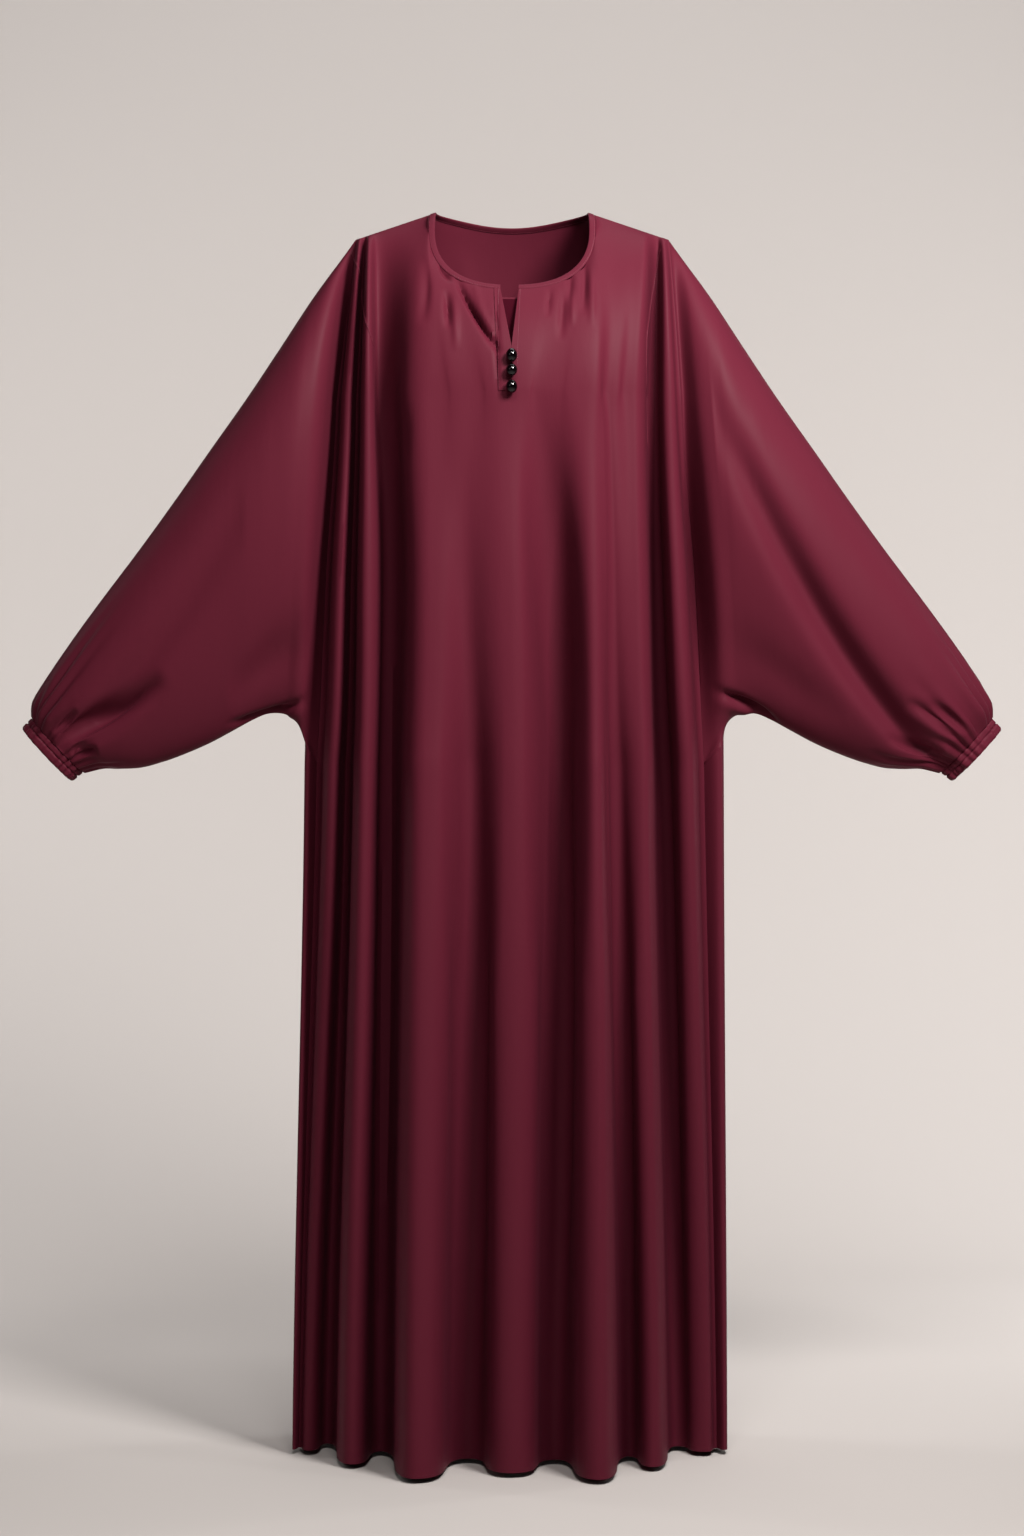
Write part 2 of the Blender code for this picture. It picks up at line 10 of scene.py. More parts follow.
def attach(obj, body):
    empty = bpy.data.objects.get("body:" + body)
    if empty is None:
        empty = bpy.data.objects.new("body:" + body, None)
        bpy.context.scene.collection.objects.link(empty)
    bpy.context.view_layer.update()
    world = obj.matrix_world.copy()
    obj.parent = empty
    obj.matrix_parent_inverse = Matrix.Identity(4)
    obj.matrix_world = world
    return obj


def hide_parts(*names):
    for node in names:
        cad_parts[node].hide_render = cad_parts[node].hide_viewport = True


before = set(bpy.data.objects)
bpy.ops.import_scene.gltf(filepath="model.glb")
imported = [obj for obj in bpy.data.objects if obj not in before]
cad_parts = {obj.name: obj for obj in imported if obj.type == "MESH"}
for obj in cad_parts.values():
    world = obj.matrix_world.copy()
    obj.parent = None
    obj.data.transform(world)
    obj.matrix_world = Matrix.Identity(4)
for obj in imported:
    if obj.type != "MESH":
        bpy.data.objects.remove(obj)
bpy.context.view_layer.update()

# Satin crepe: a burgundy filament cloth with a soft lustre on its ridges, a fine crepe grain, and warp and weft
# threads too fine to count from a step away. It goes dark in the folds, where it only mirrors itself.
MM = 0.001
SATIN_COLOUR = "#551B29"
SATIN_SHEEN = "#B8607A"
THREAD_SPACING = 0.35 * MM
GRAIN_SIZE = 1.1 * MM
RIPPLE_SIZE = 38.0 * MM


def linear(text):
    """Linear RGBA of an sRGB colour written as #RRGGBB."""
    values = [int(text[place:place + 2], 16) / 255 for place in (1, 3, 5)]
    return (*[v / 12.92 if v <= 0.04045 else ((v + 0.055) / 1.055) ** 2.4 for v in values], 1.0)


def add_node(tree, kind, inputs, **settings):
    """Adds a node: its settings first, then each input as a value or as a link from another node's output."""
    added = tree.nodes.new(kind)
    for name, value in settings.items():
        setattr(added, name, value)
    for name, value in inputs.items():
        if isinstance(value, bpy.types.NodeSocket):
            tree.links.new(value, added.inputs[name])
        else:
            added.inputs[name].default_value = value
    return added


def new_material(name, **settings):
    """A Principled material with these inputs, and its tree and shader."""
    material = bpy.data.materials.new(name)
    material.use_nodes = True
    shader = material.node_tree.nodes["Principled BSDF"]
    for socket, value in settings.items():
        shader.inputs[socket.replace("_", " ")].default_value = value
    return material, material.node_tree, shader


def satin_material(name, colour, gloss=0.06, sheen=0.03):
    """Satin crepe: threads along the cut's own directions, a crepe grain and faint long ripples in its height."""
    material, tree, shader = new_material(
        name, Base_Color=linear(colour), Roughness=0.5, IOR=1.46, Specular_IOR_Level=gloss, Sheen_Weight=sheen,
        Sheen_Roughness=0.4, Sheen_Tint=linear(SATIN_SHEEN))
    cut = add_node(tree, "ShaderNodeUVMap", {}, uv_map="cut").outputs["UV"]
    place = add_node(tree, "ShaderNodeTexCoord", {}).outputs["Object"]
    threads = add_node(tree, "ShaderNodeTexWave", {"Vector": cut, "Scale": 1 / (20 * THREAD_SPACING), "Distortion": 0.6},
                       bands_direction="X")
    grain = add_node(tree, "ShaderNodeTexNoise", {"Vector": place, "Scale": 1 / GRAIN_SIZE, "Detail": 2.0})
    stretched = add_node(tree, "ShaderNodeMapping", {"Vector": place, "Scale": (1.0, 1.0, 0.22)})
    ripples = add_node(tree, "ShaderNodeTexNoise", {
        "Vector": stretched.outputs["Vector"], "Scale": 1 / RIPPLE_SIZE, "Detail": 3.0, "Roughness": 0.55})
    low = add_node(tree, "ShaderNodeBump", {"Height": ripples.outputs["Fac"], "Strength": 0.5, "Distance": 0.0016})
    fine = add_node(tree, "ShaderNodeBump", {
        "Height": grain.outputs["Fac"], "Strength": 0.35, "Distance": 0.0001, "Normal": low.outputs["Normal"]})
    woven = add_node(tree, "ShaderNodeBump", {
        "Height": threads.outputs["Fac"], "Strength": 0.2, "Distance": 0.00005, "Normal": fine.outputs["Normal"]})
    tree.links.new(woven.outputs["Normal"], shader.inputs["Normal"])
    return material


satin = satin_material("satin_crepe_burgundy", SATIN_COLOUR)

# Front and back panels: each is one width of cloth, cut far wider than it hangs, so it falls from the shoulders in
# deep folds. The front is slit at the centre. A panel is worked out fold by fold and row by row from two tables.
SATIN_WALL = 1.2 * MM
SEAM_GAP = 0.16 * MM
WELD = 0.001 * MM
BAND_WIDTH = 8.0 * MM
CHEST_Z, WAIST_Z, ARM_Z, HEM_Z = -0.217, -0.410, -0.632, -1.420
HEIGHTS = np.array([-CHEST_Z, -WAIST_Z, -ARM_Z, -HEM_Z])
SHOULDER_ROWS, BODY_ROWS, SKIRT_ROWS = 72, 48, 62
COLUMNS_PER_FOLD = 13
CLOSE_COLUMNS_PER_FOLD, CLOSE_STEP = 24, 5.5
TIP_X, TIP_Z, UNDERARM_Z = 0.1795, -0.031, -0.603
NECK_HALF, NECK_DROP, NECK_LEVEL, NECK_FRONT, NECK_BACK, NECK_BACK_DROP = 0.088, 0.073, -0.020, 0.078, 0.060, 0.008
NECK_SQUARE, NECK_FORWARD = 0.8, 0.55
BAND_TILT, BAND_TILT_CENTRE, BAND_REACH = 0.3, 0.5, 0.75
NECK_LEAN, NECK_LEAN_POWER, NECK_SPREAD, NECK_SPREAD_WIDTH = np.pi / 4, 1.5, 5.0 * MM, 0.25
SLIT_V_Z, SLIT_LEFT, SLIT_RIGHT, SLIT_MIN = -0.166, 13.0 * MM, 7.5 * MM, 0.02 * MM
PLACKET_STEP = 7.845
CENTRE, LAST, NECK_STEPS, HAIR = 8, 16, (6.0, 10.5), 1e-9
FLANK, RIDGE_WIDTH = 0.11, 0.07
SIDE_BULGE = {"front": 13.0 * MM, "back": 4.0 * MM}

# One row per fold, from the wearer's right side seam to the left one, valleys and ridges in turn.
# Columns: start (share of the shoulder line, or 1 plus a share of the half neckline), x at chest, waist, armhole and
# hem, then reach at the same heights, in mm.
FRONT = np.array([
    [0.00, -238, -238, -238, -252, 0, 0, 0, 0],
    [0.00, -202, -214, -225, -246, 5, 0, -5, -3],
    [0.06, -185, -193, -202, -232, 55, 60, 50, 16],
    [0.12, -178, -184, -191, -214, 15, 2, -10, -26],
    [0.19, -163, -164, -166, -180, 78, 85, 88, 95],
    [0.30, -151, -140, -143, -150, 46, 35, 30, 20],
    [1.00, -94, -92, -97, -107, 115, 125, 135, 175],
    [1.45, -52, -52, -45, -50, 118, 120, 105, 62],
    [2.00, -1, -1, 1, -1, 122, 128, 130, 144],
    [1.62, 38, 52, 54, 49, 118, 96, 75, 68],
    [1.34, 86, 91, 95, 96, 120, 130, 140, 180],
    [0.66, 110, 116, 118, 133, 106, 108, 98, 50],
    [0.35, 136, 140, 147, 158, 98, 106, 110, 110],
    [0.14, 163, 165, 170, 190, 32, 10, 0, -10],
    [0.07, 177, 185, 199, 221, 65, 66, 60, 23],
    [0.00, 192, 209, 221, 236, 46, 10, 0, 0],
    [0.00, 243, 243, 243, 247, 0, 0, 0, 0],
])
BACK = np.array([
    [0.00, -238, -238, -238, -252, 0, 0, 0, 0],
    [0.00, -202, -214, -225, -246, 14, 18, 22, 30],
    [0.06, -186, -194, -203, -230, 60, 66, 68, 80],
    [0.12, -174, -178, -184, -202, 40, 44, 48, 62],
    [0.19, -156, -152, -152, -166, 84, 94, 100, 130],
    [0.30, -134, -126, -120, -128, 68, 68, 68, 74],
    [1.00, -98, -94, -86, -88, 100, 110, 120, 158],
    [1.45, -50, -46, -42, -44, 98, 96, 90, 86],
    [2.00, -4, 0, 2, 6, 102, 112, 124, 166],
    [1.62, 42, 44, 48, 54, 99, 94, 88, 84],
    [1.34, 84, 88, 92, 100, 102, 110, 120, 160],
    [0.66, 116, 122, 128, 140, 84, 80, 74, 76],
    [0.35, 140, 146, 156, 172, 90, 96, 102, 128],
    [0.14, 166, 174, 184, 206, 46, 46, 50, 62],
    [0.07, 180, 194, 204, 228, 62, 66, 68, 78],
    [0.00, 192, 209, 221, 240, 14, 18, 22, 30],
    [0.00, 243, 243, 243, 247, 0, 0, 0, 0],
])


def between(table, place):
    """Smooth values of a table's rows at a place counted in rows."""
    place = np.asarray(place, float)
    last = len(table) - 1
    row = np.clip(np.floor(place).astype(int), 0, last - 1)
    share = (place - row).reshape(place.shape + (1,) * (table.ndim - 1))
    before, start, end = table[np.maximum(row - 1, 0)], table[row], table[row + 1]
    after = table[np.minimum(row + 2, last)]
    slope_in, slope_out = (end - before) / 2, (after - start) / 2
    return (start * (1 + 2 * share) * (1 - share) ** 2 + slope_in * share * (1 - share) ** 2
            + end * share ** 2 * (3 - 2 * share) + slope_out * share ** 2 * (share - 1))


def fold_places(folds, z):
    """x and reach of every fold at heights z."""
    row = np.interp(-z, HEIGHTS, np.arange(len(HEIGHTS)))
    levels = np.stack([folds[:, 1:5].T, folds[:, 5:9].T], axis=-1) * MM
    return between(levels, row)


def across(places, step, bulge):
    """Section of a panel: from fold to fold the reach follows half a cosine wave while x goes with steeper flanks."""
    last = places.shape[1] - 1
    fold = np.clip(np.floor(step).astype(int), 0, last - 1)
    share = step - fold
    start, end = places[:, fold], places[:, fold + 1]
    side = np.where(fold % 2 == 0, 1.0, -1.0)
    go = share + FLANK * np.sin(2 * np.pi * share) + side * RIDGE_WIDTH * np.sin(np.pi * share)
    rise = (1 - np.cos(np.pi * share)) / 2
    first, final = fold == 0, fold == last - 1
    go = np.where(first, 1 - np.cos(np.pi / 2 * share), np.where(final, np.sin(np.pi / 2 * share), go))
    rise = np.where(first, np.sin(np.pi / 2 * share), np.where(final, 1 - np.cos(np.pi / 2 * share), rise))
    x = start[..., 0] + (end[..., 0] - start[..., 0]) * go
    reach = start[..., 1] + (end[..., 1] - start[..., 1]) * rise
    return x, reach + np.where(first | final, bulge * np.sin(np.pi * share), 0.0)


def neck_loop(share, facing):
    """Inner edge of the neck binding, from a neck point (0) to the centre (1), for x > 0, and its outward direction."""
    lift = np.arcsin((-NECK_LEVEL / NECK_DROP) ** (1 / NECK_SQUARE))
    angle = -lift + share * (np.pi / 2 + lift)
    turn = share * np.pi / 2
    if facing == "front":
        x = NECK_HALF * np.cos(angle) ** NECK_SQUARE
        z = NECK_LEVEL - NECK_DROP * np.sign(angle) * np.abs(np.sin(angle)) ** NECK_SQUARE
        y = -NECK_FRONT * np.sin(turn) ** NECK_FORWARD
    else:
        x = NECK_HALF * np.cos(lift) ** NECK_SQUARE * np.cos(turn)
        z = -NECK_BACK_DROP * np.sin(turn) ** 4
        y = NECK_BACK * np.sin(turn)
    way = -1 if facing == "front" else 1
    tilt = BAND_TILT + BAND_TILT_CENTRE * np.sin(turn)
    out = np.stack([np.cos(turn), way * BAND_REACH * np.sin(turn), -tilt], axis=-1)
    out /= np.linalg.norm(out, axis=-1, keepdims=True)
    return np.stack([x, y, z], axis=-1), out


def top_points(folds, step, facing):
    """Upper end of each column on the shoulder line or the binding, the binding's inner edge there, and its start."""
    start = np.interp(step, np.arange(len(folds)), folds[:, 0])
    mirror = np.stack([np.where(step < CENTRE, -1.0, 1.0), np.ones(len(step)), np.ones(len(step))], axis=-1)
    inner, out = neck_loop(np.clip(start - 1, 0, 1), facing)
    corner, corner_out = neck_loop(np.zeros(1), facing)
    corner = corner + corner_out * BAND_WIDTH
    tip = np.array([[TIP_X, 0.0, TIP_Z]])
    line = tip + (corner - tip) * np.clip(start, 0, 1)[:, None]
    return np.where(start[:, None] < 1, line, inner + out * BAND_WIDTH) * mirror, inner * mirror, start


def slit_shift(step, z, top_z):
    """How far the columns beside the slit stand aside, all of it at the edge and none at the placket line."""
    near = np.clip(1 - np.abs(step - CENTRE) / (CENTRE - PLACKET_STEP), 0, 1)
    left = step < CENTRE
    wide = np.where(left, SLIT_LEFT, SLIT_RIGHT)
    opening = SLIT_MIN + wide * np.clip((z - SLIT_V_Z) / (top_z - SLIT_V_Z), 0, 1)
    return np.where(z < CHEST_Z + WELD, 0.0, np.where(left, -1, 1) * opening * near)


def panel_shoulder(folds, step, turn, facing, slit=True):
    """Shoulder part of a panel at a turn of 0 (top edge) to 1 (chest): a quarter of an ellipse per column."""
    tops, _, start = top_points(folds, step, facing)
    x, reach = across(fold_places(folds, np.array([CHEST_Z])), step, SIDE_BULGE[facing])
    way = -1 if facing == "front" else 1
    lean = NECK_LEAN * np.clip(start, 0, 1) ** NECK_LEAN_POWER
    angle = lean + (np.pi / 2 - lean) * turn
    out = (np.sin(angle) - np.sin(lean)) / (1 - np.sin(lean))
    down = (np.cos(lean) - np.cos(angle)) / np.cos(lean)
    spread = NECK_SPREAD * np.sin(np.pi * turn) * np.exp(-((start - 1) / NECK_SPREAD_WIDTH) ** 2)
    place_x = tops[:, 0] + (x[0] - tops[:, 0]) * down + np.sign(tops[:, 0]) * spread
    place_y = tops[:, 1] + (way * reach[0] - tops[:, 1]) * out
    place_z = tops[:, 2] + (CHEST_Z - tops[:, 2]) * down
    if slit and facing == "front":
        place_x = place_x + slit_shift(step, place_z, tops[:, 2])
    return np.stack([place_x, place_y, place_z], axis=-1)


def panel_level(folds, step, z, facing):
    """Part of a panel below the chest, one row per height."""
    x, reach = across(fold_places(folds, z), step, SIDE_BULGE[facing])
    way = -1 if facing == "front" else 1
    return np.stack([x, way * reach, np.broadcast_to(z[:, None], x.shape)], axis=-1)


def column_steps():
    """Columns from armhole to centre and from centre to armhole, closest beside the slit."""
    wide = np.linspace(1, CLOSE_STEP, round((CLOSE_STEP - 1) * COLUMNS_PER_FOLD) + 1)
    close = np.linspace(CLOSE_STEP, PLACKET_STEP, round((PLACKET_STEP - CLOSE_STEP) * CLOSE_COLUMNS_PER_FOLD) + 1)
    half = np.concatenate([wide, close[1:], np.linspace(PLACKET_STEP, CENTRE, 6)[1:]])
    return half, LAST - half[::-1]


shoulder_turns = np.linspace(0, 1, SHOULDER_ROWS + 1)

# Beside the neck points the cloth is on the bias and evens out. Columns, their reach and the rows over which it fades.
EASED_STEPS, EASED_REACH, EASED_ROWS, EASE_PASSES = (6.0, 10.5), 1.6, (40, 74), 90


def eased(grid, step):
    """The grid with its points near the neck drawn towards the middle of their neighbours, its borders kept."""
    near = np.clip(1 - np.abs(step[:, None] - np.array(EASED_STEPS)) / EASED_REACH, 0, 1).max(axis=1)
    fade = np.interp(np.arange(len(grid)), EASED_ROWS, (1, 0))
    share = np.outer(fade, near)[1:-1, 1:-1, None] / 2
    for _ in range(EASE_PASSES):
        around = (grid[:-2, 1:-1] + grid[2:, 1:-1] + grid[1:-1, :-2] + grid[1:-1, 2:]) / 4
        grid[1:-1, 1:-1] += (around - grid[1:-1, 1:-1]) * share
    return grid


# From the chest to the armhole the middle folds are soft swells. Columns, the width of its fade, rows and passes.
SOFT_STEPS, SOFT_FADE, SOFT_PASSES = (6.2, 12.0), 0.5, 110
SOFT_ROWS = (SHOULDER_ROWS, SHOULDER_ROWS + 8, SHOULDER_ROWS + BODY_ROWS, SHOULDER_ROWS + BODY_ROWS + 20)


def softened(grid, step):
    """The grid with its middle columns spaced out more evenly across the panel, so the folds' flanks are gentle."""
    near = np.interp(step, (SOFT_STEPS[0], SOFT_STEPS[0] + SOFT_FADE, SOFT_STEPS[1] - SOFT_FADE, SOFT_STEPS[1]),
                     (0, 1, 1, 0))
    share = np.outer(np.interp(np.arange(len(grid)), SOFT_ROWS, (0, 1, 1, 0)), near)[:, 1:-1] / 2
    for _ in range(SOFT_PASSES):
        x = grid[:, :, 0]
        grid[:, 1:-1, 0] += ((x[:, :-2] + x[:, 2:]) / 2 - x[:, 1:-1]) * share
    return grid


def panel(folds, facing):
    """Grids of a panel: two halves that share the centre column under the slit, and two strips under the arms."""
    body_z = np.linspace(CHEST_Z, ARM_Z, BODY_ROWS + 1)[1:]
    skirt_z = np.linspace(ARM_Z, HEM_Z, SKIRT_ROWS + 1)
    low_z = np.concatenate([body_z, skirt_z[1:]])
    grids = []
    for half, edge in zip(column_steps(), (CENTRE - HAIR, CENTRE)):
        columns = np.where(half == CENTRE, edge, half)
        high = [panel_shoulder(folds, columns, turn, facing) for turn in shoulder_turns]
        whole = np.concatenate([np.array(high), panel_level(folds, half, low_z, facing)])
        grids.append(softened(eased(whole, half), half))
    drop = np.linspace(0, 1, SKIRT_ROWS + 1)
    for first, seam in ((0, 0), (LAST - 1, LAST)):
        strip = np.linspace(first, first + 1, COLUMNS_PER_FOLD + 1)
        top = UNDERARM_Z + (ARM_Z - UNDERARM_Z) * np.abs(strip - seam)
        columns = [panel_level(folds, np.array([one]), start + (HEM_Z - start) * drop, facing)[:, 0]
                   for one, start in zip(strip, top)]
        grids.append(np.stack(columns, axis=1))
    return grids


front_grids = panel(FRONT, "front")
back_grids = panel(BACK, "back")

# Sleeves: each is cut very wide and set in at a deep armhole, hangs in long soft folds and is gathered at the wrist.
# One row per section from armhole to cuff. Columns: outer edge x and z, lower edge x and z, reach to the front, reach
# to the back, fullness at the top, in mm.
SLEEVE = np.array([
    [179, -31, 240, -603, 6, 12, 0.00],
    [198, -57, 246, -587, 60, 58, 0.20],
    [229, -100, 260, -576, 74, 70, 0.35],
    [267, -158, 280, -575, 76, 72, 0.35],
    [305, -215, 298, -582, 74, 70, 0.35],
    [346, -273, 320, -594, 70, 66, 0.35],
    [386, -330, 346, -608, 66, 62, 0.30],
    [428, -388, 373, -620, 62, 58, 0.25],
    [471, -445, 400, -630, 57, 54, 0.20],
    [504, -491, 426, -637, 52, 50, 0.15],
    [533, -535, 452, -638, 46, 44, 0.10],
    [548, -562, 473, -637, 38, 37, 0.05],
    [551, -580, 493, -642, 28, 28, 0.00],
])
SLEEVE_END = 12.0
SLEEVE_STATIONS = np.concatenate([np.linspace(0, 2.4, 40), np.linspace(2.4, 9.6, 60)[1:],
                                  np.linspace(9.6, SLEEVE_END, 46)[1:]])
EASE_STATIONS, FADE_STATIONS = 3.0, 1.6

# Long soft folds. Columns: wearer's side (-1 right, 1 left), face (-1 front, 1 back), first and last section, place
# across the sleeve at both ends (0 outer edge, 1 lower edge), depth in mm, half width across.
SLEEVE_FOLDS = [
    [1, -1, 1.6, 12.4, 0.33, 0.90, 22, 0.09],
    [1, -1, 0.5, 7.0, 0.86, 0.84, 4, 0.07],
    [-1, -1, 4.0, 12.0, 0.38, 0.62, 9, 0.10],
    [-1, -1, 0.5, 5.0, 0.84, 0.88, 9, 0.07],
    [1, 1, 3.0, 12.0, 0.40, 0.66, 9, 0.12],
    [-1, 1, 2.5, 11.0, 0.42, 0.60, 8, 0.12],
]
FOLD_FADE = 0.7

# Gathers at the wrist: each pulls a trough into the sleeve that fades out at its own length, in sections.
GATHERS = 26
GATHER_DEPTH = 4.6 * MM
GATHER_LENGTHS = (1.3, 4.6)
GATHER_SWELL, GATHER_SWELL_LENGTH = 1.1, 0.9
gather_rng = np.random.default_rng(11)


def armhole(grids, side):
    """Edge of a panel from the shoulder tip down the armhole and out to the underarm point."""
    half = grids[0][:, 0] if side < 0 else grids[1][:, -1]
    strip = grids[2][0, ::-1] if side < 0 else grids[3][0]
    return np.concatenate([half[:SHOULDER_ROWS + BODY_ROWS + 1], strip[1:]])


def sleeve_shape(station, share, side):
    """Points of a sleeve section at shares from the outer edge (0) to the lower edge (1), front then back."""
    row = between(SLEEVE, station)
    outer = np.array([side * row[0], 0.0, row[1]]) * MM
    lower = np.array([side * row[2], 0.0, row[3]]) * MM
    angle = np.pi * share
    place = (1 - np.cos(angle)) / 2
    faces = []
    for face, reach in ((-1, row[4]), (1, row[5])):
        depth = reach * MM * np.sin(angle) * (1 + row[6] * np.cos(angle))
        for fold_side, fold_face, first, last, begin, end, deep, wide in SLEEVE_FOLDS:
            if fold_side == side and fold_face == face and first < station < last:
                along = (station - first) / (last - first)
                centre = begin + (end - begin) * along
                depth = depth - deep * MM * np.sin(np.pi * along) ** FOLD_FADE * np.exp(-((place - centre) / wide) ** 2)
        points = outer + (lower - outer) * place[:, None]
        points[:, 1] += face * depth
        faces.append(points)
    return faces


def gather_table():
    """Place round the ring, width, depth and length of every gather at one wrist."""
    count = np.arange(GATHERS)
    return np.stack([
        (count + gather_rng.uniform(-0.22, 0.22, GATHERS)) / GATHERS,
        gather_rng.uniform(0.30, 0.46, GATHERS) / GATHERS,
        gather_rng.uniform(0.7, 1.25, GATHERS),
        gather_rng.uniform(*GATHER_LENGTHS, GATHERS),
    ], axis=-1)


def gathered(ring, gathers, before_end, depth):
    """Draws a ring in at its gathers, each as far as it reaches from the sleeve's end, and out between them."""
    middle = ring.mean(axis=0)
    out = ring - middle
    out /= np.linalg.norm(out, axis=1, keepdims=True)
    share = np.arange(len(ring)) / len(ring)
    move = np.zeros(len(ring))
    for place, wide, deep, length in gathers:
        off = (share - place + 0.5) % 1 - 0.5
        fade = np.clip(1 - before_end / length, 0, 1) * (1 + GATHER_SWELL * min(1, before_end / GATHER_SWELL_LENGTH))
        move -= deep * fade * (np.exp(-(off / wide) ** 2) - wide * np.sqrt(np.pi))
    return ring + out * (depth * move)[:, None]


def sleeve(front_edge, back_edge, side, gathers):
    """Sleeve grid: the first ring is the armhole itself, then it eases into the sections and ends in gathers."""
    even = np.linspace(0, 1, len(front_edge))
    edges = (front_edge, back_edge)
    starts = []
    for edge in edges:
        run = np.concatenate([[0], np.cumsum(np.linalg.norm(np.diff(edge, axis=0), axis=1))])
        starts.append(run / run[-1])
    first = [sleeve_shape(0.0, start, side)[face] for face, start in enumerate(starts)]
    rings = []
    for station in SLEEVE_STATIONS:
        ease = min(1.0, station / EASE_STATIONS)
        fade = max(0.0, 1 - station / FADE_STATIONS) ** 2
        faces = [sleeve_shape(station, start + (even - start) * ease, side)[face] + (edges[face] - first[face]) * fade
                 for face, start in enumerate(starts)]
        ring = np.concatenate([faces[0], faces[1][-2:0:-1]])
        rings.append(gathered(ring, gathers, SLEEVE_END - station, GATHER_DEPTH))
    return np.array(rings)


# Cuffs: a wide elastic in a turned-in casing. Its gathers run through as ribs, crossed in the middle of the band by a
# groove where one row of stitching holds it, and the free edge is a rounded fold.
# Columns: distance along the cuff in mm, size against the sleeve's end, depth of its ribs in mm.
CUFF = np.array([
    [0.0, 1.00, 4.6],
    [1.0, 0.93, 3.4],
    [2.6, 0.97, 3.0],
    [6.6, 0.965, 3.0],
    [8.6, 0.92, 2.2],
    [10.6, 0.965, 2.9],
    [15.5, 0.955, 2.7],
    [17.5, 0.92, 2.0],
])
CUFF_AXIS = np.array([0.737, 0.0, -0.676])
CUFF_ROWS = 30


def cuff(end_ring, plain_ring, side, gathers):
    """Cuff grid: it takes over the gathered end of the sleeve and runs on as a ribbed band."""
    middle = end_ring.mean(axis=0)
    plain = plain_ring - plain_ring.mean(axis=0)
    axis = CUFF_AXIS * np.array([side, 1, 1])
    rings = [end_ring]
    for along in np.linspace(0, CUFF[-1, 0], CUFF_ROWS)[1:]:
        size, rib = (np.interp(along, CUFF[:, 0], CUFF[:, column]) for column in (1, 2))
        rings.append(gathered(middle + plain * size + axis * along * MM, gathers, 0.0, rib * MM))
    return np.array(rings)


# The cloth is one sewn sheet: panels, sleeves and cuffs share the points and normals of their seams, and soft
# creases run over all of them. Each crease is laid out on the garment's front or back view.
VIEW_DISTANCE = 4.0
VIEW_HEIGHT = -0.638
CREASE_FADE = 1.2

# Columns: x and z of its two ends, how far it bows to its left, half width and depth, in mm. A negative depth is a
# ridge.
FRONT_CREASES = [
    [-66, -72, -12, -164, -2, 3.4, 12.0],
    [-46, -78, -22, -132, 0, 3.4, -3.0],
    [-40, -86, -16, -135, -2, 2.6, 3.0],
    [-84, -58, -70, -80, 0, 3.0, 5.0],
    [-76, -86, -74, -134, 1, 4.0, 5.0],
    [-66, -90, -64, -160, 0, 4.0, -2.5],
    [-98, -50, -104, -130, 2, 6.0, 3.5],
    [84, -50, 82, -118, 0, 4.5, 4.0],
    [92, -62, 92, -132, 0, 4.0, -2.5],
    [68, -64, 65, -104, 0, 4.0, 3.0],
    [60, -80, 56, -148, 0, 4.5, 3.2],
    [71, -88, 69, -132, 0, 3.5, -2.0],
    [44, -84, 41, -120, 0, 3.0, 2.5],
    [-17.6, -84, -16.6, -216, 0, 1.8, 3.0],
    [-78, -376, -80, -1000, 3, 7, 1.0],
    [-58, -260, -36, -1400, 4, 14, 9.0],
    [20, -200, 57, -640, 4, 24, 11.0],
    [50, -400, 50, -1400, 9, 12, 12.0],
    [106, -250, 136, -1400, 3, 10, 8.0],
    [-84, -700, -74, -1418, 0, 8, 1.0],
    [-122, -215, -128, -300, 2, 8, 2.0],
    [-400, -532, -526, -606, 6, 12, 24.0],
    [-475, -619, -508, -622, -2, 6, 10.0],
    [-500, -570, -528, -598, 0, 5, 6.0],
    [452, -560, 512, -604, 4, 7, 8.0],
    [478, -560, 524, -598, 3, 5, 6.0],
    [430, -600, 500, -622, -3, 6, 7.0],
    [-230, -556, -330, -588, 4, 5, 10.0],
    [-236, -570, -330, -604, 4, 6, -4.0],
    [228, -548, 310, -592, 6, 5, 12.0],
    [234, -564, 320, -604, 6, 6, -4.0],
    [-140, -250, -156, -1400, 3, 8, 13.0],
    [165, -250, 189, -1400, 5, 8, 9.0],
    [152, -280, 163, -760, 0, 3.0, -3.0],
]
BACK_CREASES = [
    [-60, -20, -52, -150, 4, 10, 2.0],
    [56, -18, 50, -140, -4, 10, 2.0],
    [20, -60, 26, -360, 3, 12, 1.5],
    [-30, -300, -24, -900, -4, 12, 1.5],
    [440, -560, 520, -600, 4, 9, 5.0],
    [-438, -565, -520, -602, -4, 9, 5.0],
]


def crease_height(points, table, way):
    """Height that the creases add at points, seen from the front (way -1) or the back (1)."""
    shrink = VIEW_DISTANCE / (VIEW_DISTANCE - way * points[:, 1])
    place = np.stack([points[:, 0] * shrink, VIEW_HEIGHT + (points[:, 2] - VIEW_HEIGHT) * shrink], axis=-1)
    total = np.zeros(len(points))
    for x_one, z_one, x_two, z_two, bow, wide, deep in table:
        start = np.array([x_one, z_one]) * MM
        run = np.array([x_two, z_two]) * MM - start
        length = np.linalg.norm(run)
        way_on = run / length
        off = place - start
        along = np.clip(off @ way_on / length, 0, 1)
        aside = off @ np.array([-way_on[1], way_on[0]]) - bow * MM * 4 * along * (1 - along)
        total -= deep * MM * np.sin(np.pi * along) ** CREASE_FADE * np.exp(-(aside / (wide * MM)) ** 2)
    return total


